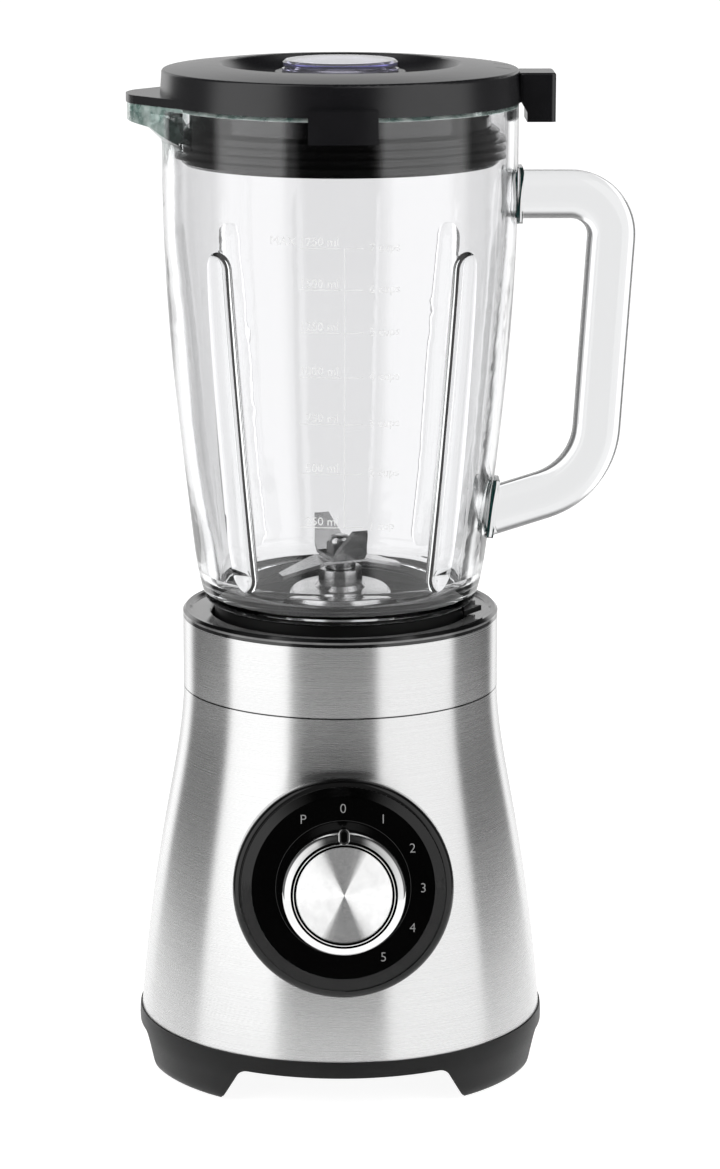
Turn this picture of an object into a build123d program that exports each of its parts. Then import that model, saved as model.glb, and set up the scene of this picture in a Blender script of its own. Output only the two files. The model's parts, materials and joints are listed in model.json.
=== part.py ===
from build123d import *
import os
from math import cos, radians, sin

# Countertop blender with a glass jar, in millimetres.
# The frame's origin is the centre of the footprint on the worktop, on the drive axis.
# +Z is up, -Y is the front with the speed knob, +X is the handle side and -X the pouring spout.

# ---- driving dimensions --------------------------------------------------------------------------
FOOT_PAD = 1.5                   # rubber pad under each foot
ARCH_TOP = 16.8                  # underside of the base frame between the feet
FRONT_ARCH = 50.0                # half widths between the feet, front and sides
SIDE_ARCH = 28.0
FLOOR_T = 2.5                    # base frame floor thickness
STEEL_BOTTOM = 23.5              # lower edge of the steel housing
STEEL_R = 86.0                   # housing radius at its lower edge
SEAM_Z = 165.4                   # seam between the housing and the upper steel band
BAND_TOP = 195.5
BAND_R = 67.0
SKIN = 1.0                       # steel sheet thickness
DECK_Z = 197.4                   # deck surface round the jar
WELL_R = 54.6                    # socket in the deck for the jar's collar
WELL_FLOOR = 178.0
COLLAR_R = 53.5                  # jar collar
COLLAR_BOTTOM = 178.3
COLLAR_TOP = 202.0
GLASS_BOTTOM = 202.3             # shoulder of the glass above the collar
NECK_END = 188.4                 # end of the glass neck inside the collar
NECK_R = 47.2
NECK_BORE = 40.0
RIM_Z = 413.0                    # jar rim
SPOUT_TIP = 88.4
JAR_R = 74.1
LID_R = 75.0
LID_TOP = 428.7
CAP_TOP = 430.2
GAP = 0.3                        # clearance between parts that move apart
PANEL_TILT = 9.4                 # lean of the control panel, degrees
PANEL_CENTRE = (0, -82.0, 97.5)
BEZEL_R = 45.6
DIAL_R = 37.7
KNOB_R = 25.4
KNOB_H = 22.0
CAP_DISC_R = 19.6                # spun disc in the knob's face
NOSE_R = 23.8                    # distance of the knob's pointer from its axis
SHAFT_R = 4.0                    # motor shaft and blade shaft
RUN = 0.05                       # radial running clearance of a shaft in its bearing
STATOR = (70.0, 62.0)            # lamination outline, X by Y
STACK = (85.0, 115.0)            # lamination stack, bottom and top
AIR_GAP_R = 19.6                 # bore of the lamination stack
LOWER_PLATE = (50.0, 53.0)       # plates of the motor's end brackets, bottom and top
UPPER_PLATE = (128.0, 131.0)
BEARING_R = 9.0
LOWER_BEARING = (46.0, 54.0)     # motor bushes, bottom and top
UPPER_BEARING = (126.0, 134.0)
BRUSH_Z = 65.0
COMMUTATOR_R = 11.0
COMMUTATOR_BARS = 24
ARMATURE_SLOTS = 12
FAN_BLADES = 11
COUPLER_TEETH = 6
HUB_TOP = 214.0                  # top of the bearing hub in the jar
HUB_BORE = 6.5
BLADE_SEAT = 217.0               # shoulder of the blade shaft under the blades
GRIP_Z = 374.2                   # centre of the handle's upper arm
GRIP_X = 114.4                   # centre of the grip at its upper corner
GRIP_SECTION = (20.2, 17.0)      # handle section, in the handle's plane and across it
WALL_TOP_R = 69.4                # inside of the glass near the rim
PLUG_R = 62.7                    # plug of the lid inside the jar
PLUG_BOTTOM = 389.4
CAP_HOLE = 22.3
CAP_SEAT = 425.4
PIN_XY = (0.0, 50.0)             # interlock pin
SWITCH_TOP = 161.6
CORD_Z = 38.0                    # mains lead inlet on +Y
CORD_BORE = 3.7
GLAND_R = 6.0
GLAND_OUT = 88.5
GLAND_LENGTH = 14.0
BOLT_XY = [(x, y) for x in (-29.0, 29.0) for y in (-25.0, 25.0)]
POST_XY = [(x, y) for x in (-50.2, 50.2) for y in (-29.0, 29.0)]
FOOT_ANGLES = (35, 145, 215, 325)
RIB_ANGLES = (45, 135, 225, 315)

front = Plane(
    origin=PANEL_CENTRE,
    x_dir=(1, 0, 0),
    z_dir=(0, -cos(radians(PANEL_TILT)), sin(radians(PANEL_TILT))),
)


# ---- helpers -------------------------------------------------------------------------------------
def turned(*points):
    """Solid of revolution about Z from (radius, height) corners."""
    return revolve(Plane.XZ * make_face(Polyline(*points, close=True)), Axis.Z)


def turned_face(edges):
    """Solid of revolution about Z from edges drawn in (radius, height)."""
    return revolve(Plane.XZ * make_face(edges), Axis.Z)


def rod(radius, low, high, x=0.0, y=0.0):
    """Upright cylinder between two heights."""
    return Pos(x, y, (low + high) / 2) * Cylinder(radius, high - low)


def tube(outer, inner, low, high, x=0.0, y=0.0):
    return rod(outer, low, high, x, y) - rod(inner, low - 1, high + 1, x, y)


def slab(size_x, size_y, low, high, corner=0.0, x=0.0, y=0.0):
    """Upright block with rounded vertical corners."""
    outline = RectangleRounded(size_x, size_y, corner) if corner else Rectangle(size_x, size_y)
    return Pos(x, y, low) * extrude(outline, high - low)


def sector(inner, outer, low, high, middle, half_span):
    """Part of an upright ring, centred on an angle from +X."""
    section = Plane.XZ * make_face(
        Polyline((inner, low), (outer, low), (outer, high), (inner, high), close=True)
    )
    return Rot(0, 0, middle - half_span) * revolve(section, Axis.Z, 2 * half_span)


def around(count, shape, start=0.0):
    """The same shape repeated evenly round Z."""
    return [Rot(0, 0, start + i * 360 / count) * shape for i in range(count)]


def group(shapes):
    """Separate solids kept in one node."""
    return Compound(children=[s for shape in shapes for s in shape.solids()])


# ---- outer profiles of the base ------------------------------------------------------------------
def housing_curve(inset=0.0):
    """Flared side of the steel housing, as (radius, height), moved inwards by inset."""
    return Spline(
        (STEEL_R - inset, STEEL_BOTTOM),
        (81.7 - inset, 65.0),
        (74.5 - inset, 111.0),
        (68.6 - inset, 145.0),
        (66.8 - inset, SEAM_Z),
        tangents=[(-0.08, 1), (-0.05, 1)],
    )


def housing_core(inset=0.0):
    """Solid that fills the housing out to its skin, less inset."""
    side = housing_curve(inset)
    edges = Wire(
        [
            Line((0, STEEL_BOTTOM), side @ 0),
            side,
            Line(side @ 1, (0, SEAM_Z)),
            Line((0, SEAM_Z), (0, STEEL_BOTTOM)),
        ]
    )
    return turned_face(edges)


def arch(half_width, lean):
    """Outline of the opening between two feet: leaning sides with round shoulders and foot corners."""
    toe = half_width + 1.2
    right = [(half_width - lean, ARCH_TOP), (half_width, 3.0), (toe, FOOT_PAD), (toe, -5)]
    left = [(-x, z) for x, z in reversed(right)]
    face = make_face(Polyline(*right, *left, close=True))
    shoulders = face.vertices().filter_by_position(Axis.Y, ARCH_TOP - 0.1, ARCH_TOP + 0.1)
    face = fillet(shoulders, 5.0)
    toes = face.vertices().filter_by_position(Axis.Y, 2.9, 3.1)
    return fillet(toes, 1.8)


def base_frame():
    """Black foot frame: ring with four feet, vented floor, screw bosses and board clips."""
    side = Spline(
        (86.7, STEEL_BOTTOM),
        (87.0, 19.0),
        (86.7, 14.5),
        (85.6, 8.5),
        (84.6, 3.8),
        (83.4, FOOT_PAD),
        tangents=[(0.15, -1), (-0.8, -1)],
    )
    floor_top = ARCH_TOP + FLOOR_T
    rest = Polyline(
        side @ 1,
        (72.0, FOOT_PAD),
        (72.0, ARCH_TOP),
        (0, ARCH_TOP),
        (0, floor_top),
        (81.6, floor_top),
        (81.6, 30.0),
        (84.2, 30.0),
        (84.2, STEEL_BOTTOM),
        side @ 0,
    )
    frame = turned_face(Wire([side, *rest.edges()]))
    for half_width, lean, plane in ((FRONT_ARCH, 7.0, Plane.XZ), (SIDE_ARCH, 1.5, Plane.YZ)):
        frame -= extrude(plane * arch(half_width, lean), 100, both=True)
    for angle in FOOT_ANGLES:
        frame -= sector(74.5, 81.2, 4.0, floor_top + 1, angle, 11)
    frame -= around(28, Pos(24, 0, ARCH_TOP + FLOOR_T / 2) * Box(17, 2.6, FLOOR_T + 2))
    for x, y in POST_XY:
        frame += rod(5.6, ARCH_TOP, 30.0, x, y)
        frame -= rod(4.2, 0, 22.0, x, y) + rod(2.3, 20, 31, x, y)
    for x in (-20.0, 20.0):
        frame += slab(5, 7, floor_top, 30, x=x, y=52)
        frame -= slab(6, 2.0, 24, 31, x=x, y=52)
    return frame


def rubber_feet():
    return group([sector(73.6, 80.5, 0, FOOT_PAD, a, 10.5) for a in FOOT_ANGLES])


def base_screws():
    """Four screws that go up through the base frame into the deck's long posts."""
    screws = []
    for x, y in POST_XY:
        screw = rod(3.8, 19.0, 22.0, x, y) + rod(1.95, 22.0, 44.0, x, y)
        slot = Pos(x, y, 19.0) * (Box(5, 1, 2) + Box(1, 5, 2))
        screws.append(screw - slot)
    return group(screws)


def cord_hole(radius):
    """Plug through the back of the housing at the mains inlet."""
    return Pos(0, 85, CORD_Z) * Rot(90, 0, 0) * Cylinder(radius, 30)


def motor_housing():
    """Flared steel skin with the round panel opening and the cord inlet hole."""
    skin = housing_core() - housing_core(SKIN)
    skin -= front * Pos(0, 0, -15) * Cylinder(BEZEL_R - 1.4, 50)
    return skin - cord_hole(GLAND_R + 0.1)


def steel_band():
    return tube(BAND_R, BAND_R - SKIN, SEAM_Z + 0.3, BAND_TOP)


# ---- cord inlet ----------------------------------------------------------------------------------
def cord_gland():
    """Grommet in the back of the housing, bored for the mains lead."""
    outline = Polyline(
        (CORD_BORE, 0),
        (GLAND_R + 2, 0),
        (GLAND_R + 2, -2.6),
        (GLAND_R, -2.6),
        (GLAND_R, -6.4),
        (GLAND_R + 1.6, -6.4),
        (GLAND_R + 1.0, -9.5),
        (GLAND_R - 0.6, -GLAND_LENGTH),
        (CORD_BORE, -GLAND_LENGTH),
        close=True,
    )
    body = revolve(Plane.XZ * make_face(outline), Axis.Z)
    gland = Pos(0, GLAND_OUT, CORD_Z) * Rot(-90, 0, 0) * body
    sheet = housing_core() - housing_core(SKIN)
    return gland - (sheet - cord_hole(GLAND_R))


# ---- deck and interlock --------------------------------------------------------------------------
def deck():
    """Black top moulding: rim, well for the jar, shaft collar, motor bosses and long posts."""
    body = turned(
        (13.5, WELL_FLOOR - 2.4),
        (WELL_R + 2.5, WELL_FLOOR - 2.4),
        (WELL_R + 2.5, DECK_Z - 2.6),
        (63.2, DECK_Z - 2.6),
        (63.2, SEAM_Z - 5),
        (65.0, SEAM_Z - 5),
        (65.0, SEAM_Z + 0.6),
        (BAND_R - SKIN - 0.1, SEAM_Z + 0.6),
        (BAND_R - SKIN - 0.1, BAND_TOP),
        (BAND_R, BAND_TOP),
        (BAND_R, BAND_TOP + 2.2),
        (BAND_R - 1.2, BAND_TOP + 3.4),
        (BAND_R - 2.8, BAND_TOP + 3.2),
        (BAND_R - 3.8, DECK_Z),
        (WELL_R + 1.0, DECK_Z),
        (WELL_R, DECK_Z - 1.0),
        (WELL_R, WELL_FLOOR),
        (15.5, WELL_FLOOR),
        (15.0, 183.0),
        (13.5, 183.0),
    )
    for x, y in POST_XY:
        body += rod(5.0, 30.0, DECK_Z - 2.7, x, y) - rod(WELL_R + 1, WELL_FLOOR - 1, DECK_Z)
        body -= rod(1.95, 29, 46, x, y)
    for x, y in BOLT_XY:
        body += rod(5.0, 137.0, WELL_FLOOR - 2.3, x, y)
        body -= rod(1.95, 136, 156, x, y)
    x, y = PIN_XY
    for side in (-12.5, 12.5):
        body += slab(3.0, 8.0, 150.0, WELL_FLOOR - 2.3, x=x + side, y=y)
    return body - rod(2.2, WELL_FLOOR - 4, WELL_FLOOR + 1, x, y)


def interlock_pin():
    """Pin under the jar's collar that closes the interlock switch while the jar is seated."""
    x, y = PIN_XY
    pin = rod(2.0, 170.0, WELL_FLOOR, x, y) + rod(3.4, 169.6, 171.2, x, y)
    return pin + rod(1.1, SWITCH_TOP + 0.4, 169.7, x, y)


def interlock_spring():
    """Return spring of the interlock pin."""
    x, y = PIN_XY
    low, high, wire, turns = SWITCH_TOP + 0.35, 169.3, 0.3, 5
    path = Helix(pitch=(high - low) / turns, height=high - low, radius=2.1)
    section = Plane(origin=path @ 0, z_dir=path % 0) * Circle(wire)
    return Pos(x, y, low) * sweep(section, path)


def interlock_switch():
    """Microswitch held between two lugs of the deck."""
    x, y = PIN_XY
    body = slab(21.6, 6.4, 151.0, SWITCH_TOP, corner=0.8, x=x, y=y)
    for offset in (-7.0, 0.0, 7.0):
        body += slab(3.2, 0.6, 145.0, 151.1, x=x + offset, y=y)
    return body


# ---- motor ---------------------------------------------------------------------------------------
def coil_side(offset_x, side):
    """Place of one side of a field coil in the lamination stack."""
    return slab(9.0, 10.0, STACK[0] - 9, STACK[1] + 9, corner=1.5, x=offset_x, y=side * 16.5)


def motor_stator():
    """Lamination stack with its bore and the pockets for the field coils."""
    low, high = STACK[0] - 1, STACK[1] + 1
    stack = slab(*STATOR, *STACK, corner=9) - rod(AIR_GAP_R, low, high)
    for y in (-16.5, 16.5):
        for x in (-22.5, 22.5):
            stack -= slab(9.6, 10.6, low, high, corner=1.5, x=x, y=y)
    for x, y in BOLT_XY:
        stack -= rod(2.3, low, high, x, y)
    return stack


def field_coils():
    """Two copper field coils: sides in the pockets, end turns above and below the stack."""
    coils = []
    for side in (-1, 1):
        coil = coil_side(-22.5, side) + coil_side(22.5, side)
        for low in (STACK[0] - 9, STACK[1] + 1):
            coil += slab(54.0, 9.0, low, low + 8, corner=4, y=side * 22.5)
            for offset_x in (-22.5, 22.5):
                coil += slab(9.0, 12.0, low, low + 8, corner=1.5, x=offset_x, y=side * 18.0)
        coils.append(coil - group([rod(4.4, 60, 140, x, y) for x, y in BOLT_XY]))
    return group(coils)


def bracket(plate, bearing, leg_low, leg_high):
    """Motor end bracket: plate with windows, bearing hub and four hollow legs to the stack."""
    low, high = plate
    body = slab(STATOR[0], 22, low, high, corner=6) + slab(22, STATOR[1], low, high, corner=6)
    window = slab(STATOR[0] - 22, STATOR[1] - 22, low - 1, high + 1, corner=5)
    body += slab(*STATOR, low, high, corner=9) - window
    body += rod(BEARING_R + 3, bearing[0] - 1.5, bearing[1])
    for x, y in BOLT_XY:
        body += rod(4.2, leg_low, leg_high, x, y)
        body -= rod(2.3, min(low, leg_low) - 1, max(high, leg_high) + 1, x, y)
    seat = rod(BEARING_R, bearing[0], bearing[1] + 1)
    return body - seat - rod(BEARING_R - 2.5, bearing[0] - 3, bearing[1])


def upper_bracket():
    return bracket(UPPER_PLATE, UPPER_BEARING, STACK[1], UPPER_PLATE[0] + 1)


def lower_bracket():
    """Lower bracket, with two cradles for the brush holders."""
    body = bracket(LOWER_PLATE, LOWER_BEARING, LOWER_PLATE[1] - 1, STACK[0])
    for x in (-25.0, 25.0):
        body += slab(9, 13, LOWER_PLATE[1] - 1, BRUSH_Z - 4.6, x=x)
    return body


def bearing_bush(span):
    """Sintered bronze bush with an oil groove."""
    bush = tube(BEARING_R, SHAFT_R + RUN, *span)
    return bush - tube(BEARING_R + 1, BEARING_R - 0.8, sum(span) / 2 - 0.8, sum(span) / 2 + 0.8)


def brush_holders():
    """Two square brass tubes that guide the carbon brushes."""
    holders = []
    for side in (-1, 1):
        outer = Pos(side * 25.0, 0, BRUSH_Z) * Box(22, 9.2, 9.2)
        inner = Pos(side * 24.0, 0, BRUSH_Z) * Box(22, 6.8, 6.8)
        holders.append(outer - inner)
    return group(holders)


def carbon_brushes():
    """Two carbon brushes with faces curved to the commutator."""
    blocks = [Pos(side * 18.6, 0, BRUSH_Z) * Box(15, 6.4, 6.4) for side in (-1, 1)]
    return group([block - rod(COMMUTATOR_R + 0.1, 40, 90) for block in blocks])


def brush_springs():
    """Two coil springs that press the brushes against the commutator."""
    springs = []
    for side in (-1, 1):
        path = Helix(pitch=1.65, height=6.6, radius=1.9)
        section = Plane(origin=path @ 0, z_dir=path % 0) * Circle(0.3)
        coil = sweep(section, path)
        springs.append(Pos(side * 26.6, 0, BRUSH_Z) * Rot(0, side * 90, 0) * coil)
    return group(springs)


def motor_bolts():
    """Four long bolts through the brackets and the stack into the deck's bosses."""
    return group([rod(3.6, 46.5, 50.0, x, y) + rod(1.95, 50.0, 154.0, x, y) for x, y in BOLT_XY])


def motor_mounts():
    """Four rubber rings between the motor and the deck's bosses."""
    return group([tube(7.0, 2.2, UPPER_PLATE[1], 137.0, x, y) for x, y in BOLT_XY])


def motor_shaft():
    return rod(SHAFT_R, 28.0, 197.0) + rod(5.2, 55.0, 57.0) + rod(5.2, 122.5, 124.5)


def armature_core():
    core = rod(AIR_GAP_R - 0.6, STACK[0], STACK[1]) - rod(SHAFT_R, 80, 120)
    slot = rod(2.3, 80, 120, 14.8) + slab(6, 1.6, 80, 120, x=17.5)
    return core - around(ARMATURE_SLOTS, slot)


def armature_windings():
    """Copper in the slots and the rounded end turns at both ends."""
    windings = group(around(ARMATURE_SLOTS, rod(2.0, STACK[0] - 2, STACK[1] + 2, 14.8)))
    for low in (STACK[0] - 7.2, STACK[1] + 0.2):
        ring = tube(17.0, SHAFT_R + 2.2, low, low + 7)
        rims = ring.edges().filter_by(GeomType.CIRCLE).sort_by(SortBy.RADIUS)
        windings = windings + fillet(rims[2:], 2.5)
    return windings


def commutator():
    body = tube(COMMUTATOR_R, SHAFT_R, 58.0, 72.0) + tube(COMMUTATOR_R + 1.8, SHAFT_R, 72.0, 74.0)
    return body - around(COMMUTATOR_BARS, slab(2.4, 0.5, 57, 75, x=COMMUTATOR_R + 0.6))


def cooling_fan():
    """Centrifugal fan under the motor."""
    fan = tube(8.0, SHAFT_R, 30.0, 43.0) + tube(31.0, 7.5, 41.0, 43.0)
    blade = Rot(0, 0, 18) * Pos(20, 0, 36.5) * Box(20, 1.4, 10)
    return fan + around(FAN_BLADES, blade)


# ---- drive coupling ------------------------------------------------------------------------------
def tooth_ring(radius, tooth_r, low, high, pitch_r):
    """Hub with round teeth, used as the male coupling and, larger, as the pocket it enters."""
    return rod(radius, low, high) + around(COUPLER_TEETH, rod(tooth_r, low, high, pitch_r))


def drive_coupler():
    """Six-tooth coupling on the motor shaft."""
    body = tooth_ring(9.6, 2.9, 186.0, 197.0, 9.8)
    body += rod(12.7, 184.5, 187.0)
    return body - rod(SHAFT_R, 180, 198)


def driven_coupler():
    """Coupling cup on the blade shaft that drops over the drive coupler."""
    cup = rod(17.0, 187.6, 201.0)
    cup -= tooth_ring(10.1, 3.4, 187, 197.6, 9.8)
    return cup - rod(SHAFT_R, 190, 202)


# ---- jar collar and blades -----------------------------------------------------------------------
def jar_collar():
    """Screw collar that clamps the blade unit to the glass, with its arrow lug."""
    ring = turned(
        (COLLAR_R, COLLAR_BOTTOM),
        (COLLAR_R, COLLAR_TOP - 0.6),
        (COLLAR_R - 0.6, COLLAR_TOP),
        (NECK_R + 0.3, COLLAR_TOP),
        (NECK_R + 0.3, 184.2),
        (36.0, 184.2),
        (36.0, 181.2),
        (46.0, 181.2),
        (46.0, COLLAR_BOTTOM),
    )
    shank = sector(COLLAR_R - 1, 57.5, 199.4, COLLAR_TOP - 0.4, -10, 5)
    head = make_face(
        Polyline(
            (61.0 * cos(radians(-13)), 61.0 * sin(radians(-13))),
            (52.8 * cos(radians(-14)), 52.8 * sin(radians(-14))),
            (57.5 * cos(radians(-26)), 57.5 * sin(radians(-26))),
            close=True,
        )
    )
    lug = Pos(0, 0, 199.4) * extrude(head, COLLAR_TOP - 0.4 - 199.4)
    return ring + shank + lug


def blade_mount():
    """Steel carrier at the bottom of the jar: flange, cone and bearing hub."""
    return turned(
        (HUB_BORE, 202.0),
        (20.0, 202.0),
        (26.5, 184.3),
        (46.5, 184.3),
        (46.5, 186.3),
        (28.2, 186.3),
        (21.6, 204.6),
        (20.4, 205.6),
        (11.0, 206.4),
        (9.6, 208.0),
        (9.2, HUB_TOP),
        (HUB_BORE, HUB_TOP),
    )


def jar_gasket():
    """Silicone ring between the blade carrier and the end of the glass neck."""
    return tube(46.4, 40.6, 186.3, NECK_END - GAP)


def blade_bush():
    return tube(HUB_BORE, SHAFT_R + RUN, 202.0, 212.4)


def shaft_seal():
    """Lip seal above the blade bush."""
    return tube(HUB_BORE, SHAFT_R + 0.08, 212.4, HUB_TOP)


def blade_shaft():
    shaft = rod(SHAFT_R, 197.9, BLADE_SEAT) + rod(6.6, HUB_TOP + 0.3, BLADE_SEAT)
    return shaft + rod(3.0, BLADE_SEAT - 1, 227.0)


def bent_blade(rise, reach, low):
    """Two-winged blade: flat middle with wings that bend up or down."""
    path = Polyline((-reach, rise), (-9, 0), (9, 0), (reach, rise))
    profile = Plane.XZ * Pos(0, low + 0.75) * trace(path, 1.5)
    bar = extrude(profile, 8, both=True)
    tip = reach + 3
    edge = [(-tip, -2.5), (-tip, 1.5), (-12, 6.5), (12, 7.5)]
    plan = make_face(Polyline(*edge, *[(-x, -y) for x, y in edge], close=True))
    bar = bar & (Pos(0, 0, low - 30) * extrude(plan, 60))
    return bar - rod(3.0, low - 5, low + 5)


def lower_blade():
    return Rot(0, 0, 20) * bent_blade(-5.0, 27.0, BLADE_SEAT)


def upper_blade():
    return Rot(0, 0, 110) * bent_blade(15.0, 22.0, BLADE_SEAT + 1.6)


def blade_nut():
    """Domed hexagon nut that clamps the blades on the shaft."""
    low = BLADE_SEAT + 3.2
    nut = Pos(0, 0, low) * extrude(RegularPolygon(5.8, 6), 5.2) + rod(4.9, low + 5, low + 8.5)
    nut = nut - rod(3.0, low - 1, 227.0)
    top = nut.edges().filter_by(GeomType.CIRCLE).sort_by(Axis.Z)[-1]
    return fillet(top, 3.0)


# ---- glass jar -----------------------------------------------------------------------------------
def jar_outer():
    """Solid inside the jar's outer surface, with the neck."""
    side = Spline(
        (57.9, 205.4),
        (63.1, 235.6),
        (70.6, 305.8),
        (73.4, 350.0),
        (JAR_R, 380.0),
        tangents=[(0.32, 1), (0, 1)],
    )
    corner = ThreePointArc((54.6, GLASS_BOTTOM), (56.9, 203.4), side @ 0)
    rest = Polyline(
        side @ 1,
        (JAR_R, RIM_Z - 1.2),
        (JAR_R - 1.2, RIM_Z),
        (0, RIM_Z),
        (0, NECK_END),
        (NECK_R, NECK_END),
        (NECK_R, GLASS_BOTTOM),
        (54.6, GLASS_BOTTOM),
    )
    return turned_face(Wire([corner, side, *rest.edges()]))


def jar_cavity():
    """Space inside the jar, down through the neck."""
    side = Spline(
        (52.6, 216.0),
        (57.2, 240.0),
        (64.6, 305.8),
        (68.7, 350.0),
        (WALL_TOP_R, 382.0),
        tangents=[(0.22, 1), (0, 1)],
    )
    floor = ThreePointArc((43.0, 206.2), (49.9, 209.0), side @ 0)
    rest = Polyline(
        side @ 1,
        (WALL_TOP_R, RIM_Z - 1.0),
        (WALL_TOP_R + 1.0, RIM_Z + 1),
        (0, RIM_Z + 1),
        (0, NECK_END - 1),
        (NECK_BORE, NECK_END - 1),
        (NECK_BORE, 204.6),
        (43.0, 206.2),
    )
    return turned_face(Wire([floor, side, *rest.edges()]))


def spout_plan(grow=0.0):
    """Plan outline of the pouring spout on -X, grown outwards by grow."""
    tip, side, root = SPOUT_TIP + grow, 12.5 + grow, 36.5 + grow
    lip = ThreePointArc((3.5 - tip, -side), (-tip, 0), (3.5 - tip, side))
    flank = [(-64.5, root), (-50, root - 10)]
    rest = Polyline(lip @ 1, *flank, *[(x, -y) for x, y in reversed(flank)], lip @ 0)
    return make_face(Wire([lip, *rest.edges()]))


def spout():
    """Glass lip that flares out of the rim on -X."""
    block = Pos(0, 0, 390) * extrude(spout_plan(), RIM_Z - 390)
    slope = [(74.0, 395), (74.5, 398.0), (81.0, 404.2), (SPOUT_TIP + 0.5, 406.0), (92, RIM_Z)]
    return block & turned((0, 395), *slope, (0, RIM_Z))


def spout_channel():
    """Groove in the top of the spout that leads the liquid out."""
    block = Pos(0, 0, 409.6) * extrude(spout_plan(-4.2), 10)
    return block - rod(60, 400, 425)


def handle():
    """Glass D-handle: one section swept along the arm, grip and lower arm."""
    path = FilletPolyline(
        (66.0, GRIP_Z),
        (GRIP_X, GRIP_Z),
        (106.8, 253.0),
        (56.0, 237.0),
        radius=[17.0, 33.0],
    )
    path = Plane.XZ * path
    start = Plane(origin=path @ 0, x_dir=(0, 0, 1), z_dir=(1, 0, 0))
    return sweep(start * RectangleRounded(*GRIP_SECTION, 7.6), path)


def handle_pad(x, z, depth, height, lean=0.0):
    """Raised glass pad where the handle joins the wall."""
    outline = Plane.YZ * RectangleRounded(19.5, height, 4.0)
    return Pos(x, 0, z) * Rot(0, lean, 0) * extrude(outline, depth / 2, both=True)


def inner_rib(angle):
    """Rounded ridge on the inside of the wall that breaks up the swirl."""
    low, high, radius = Vector(59.2, 0, 219.5), Vector(74.3, 0, 349.5), 9.0
    lean = high - low
    stem = Plane(origin=low, z_dir=lean) * Pos(0, 0, lean.length / 2) * Cylinder(radius, lean.length)
    return Rot(0, 0, angle) * (stem + Pos(low) * Sphere(radius) + Pos(high) * Sphere(radius))


def glass_jar():
    body = jar_outer() + spout() + handle()
    body += handle_pad(72.6, GRIP_Z, 6.4, 23.5) + handle_pad(62.4, 241.5, 7.0, 25.0, lean=6.5)
    body -= jar_cavity()
    shell = jar_outer() & group([inner_rib(a) for a in RIB_ANGLES])
    return body + shell.solids() - spout_channel()


# ---- lid and measuring cap -----------------------------------------------------------------------
def handle_tab():
    """Hollow block of the lid that reaches over the rim above the handle."""
    low, high, inner, outer = 405.2, 425.4, 73.6, 88.9
    block = slab(outer - inner, 22.0, low, high, corner=2.0, x=(inner + outer) / 2)
    block = fillet(block.edges().group_by(Axis.Z)[-1], 1.0)
    under_rim = Polyline(
        (60.0, low - 1),
        (77.0, low - 1),
        (77.0, 409.2),
        (JAR_R + 0.8, RIM_Z - 0.2),
        (JAR_R + 0.8, RIM_Z + GAP),
        (60.0, RIM_Z + GAP),
        close=True,
    )
    block -= extrude(Plane.XZ * make_face(under_rim), 20, both=True)
    return block - slab(7.8, 17.6, low - 1, high - 3, x=83.0)


def lid():
    """Black lid: domed ring, dished centre, plug, spout tongue, grip tabs and handle tab."""
    dome = Spline((72.6, 426.6), (62.0, 427.9), (51.5, LID_TOP), tangents=[(-1, 0.14), (-1, 0.04)])
    dish = Spline(
        (49.0, LID_TOP - 0.4),
        (45.5, 424.4),
        (40.0, 421.4),
        tangents=[(-0.55, -0.8), (-1, -0.15)],
    )
    edges = [
        Line((PLUG_R - 2.6, PLUG_BOTTOM), (PLUG_R - 0.6, PLUG_BOTTOM)),
        Line((PLUG_R - 0.6, PLUG_BOTTOM), (PLUG_R - 0.6, 404.0)),
        Line((PLUG_R - 0.6, 404.0), (PLUG_R, 404.0)),
        Line((PLUG_R, 404.0), (PLUG_R, RIM_Z + GAP)),
        Line((PLUG_R, RIM_Z + GAP), (LID_R, RIM_Z + GAP)),
        Line((LID_R, RIM_Z + GAP), (LID_R - 0.9, 425.2)),
        ThreePointArc((LID_R - 0.9, 425.2), (LID_R - 1.2, 426.2), (72.6, 426.6)),
        dome,
        ThreePointArc((51.5, LID_TOP), (50.1, LID_TOP), (49.0, LID_TOP - 0.4)),
        dish,
        Polyline(
            (40.0, 421.4),
            (30.0, 420.8),
            (27.0, CAP_SEAT),
            (CAP_HOLE, CAP_SEAT),
            (CAP_HOLE, 409.0),
            (CAP_HOLE + 2.2, 409.0),
            (CAP_HOLE + 2.6, 418.0),
            (PLUG_R - 2.6, 418.0),
            (PLUG_R - 2.6, PLUG_BOTTOM),
        ),
    ]
    body = turned_face(Wire([e for edge in edges for e in edge.edges()]))
    tongue = Pos(0, 0, RIM_Z + GAP) * extrude(spout_plan(0.5), 3.4)
    tongue += Pos(0, 0, RIM_Z + GAP + 3.4) * extrude(spout_plan(0.5), 1.2, taper=40)
    body += tongue - rod(70, 400, 430)
    for side in (-90, 90):
        body += sector(75.4, 77.7, 402.9, 416.3, side, 10.4)
        body += sector(72.0, 77.2, RIM_Z + 1.2, 416.8, side, 10.4)
    body += handle_tab() - rod(70, 400, 430)
    for y in (-9.4, 9.4):
        body -= Pos(67.2, y, 427.4) * Box(6.4, 0.8, 1.6)
    return body


def lid_gasket():
    """Black sealing sleeve with three lips round the lid's plug."""
    inner, face, lip = PLUG_R - 0.6, PLUG_R + 3.6, WALL_TOP_R - 0.4
    points = [(inner, 403.8), (inner, PLUG_BOTTOM), (inner - 1.6, PLUG_BOTTOM)]
    points += [(inner - 1.6, 388.4), (face - 1.2, 388.4), (face, 389.6)]
    for z in (391.6, 395.0, 398.4):
        points += [(face, z - 0.5), (lip, z + 0.2), (lip, z + 0.8), (face, z + 1.5)]
    points += [(face, 402.2), (face - 2.6, 403.8)]
    return turned(*points)


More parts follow.
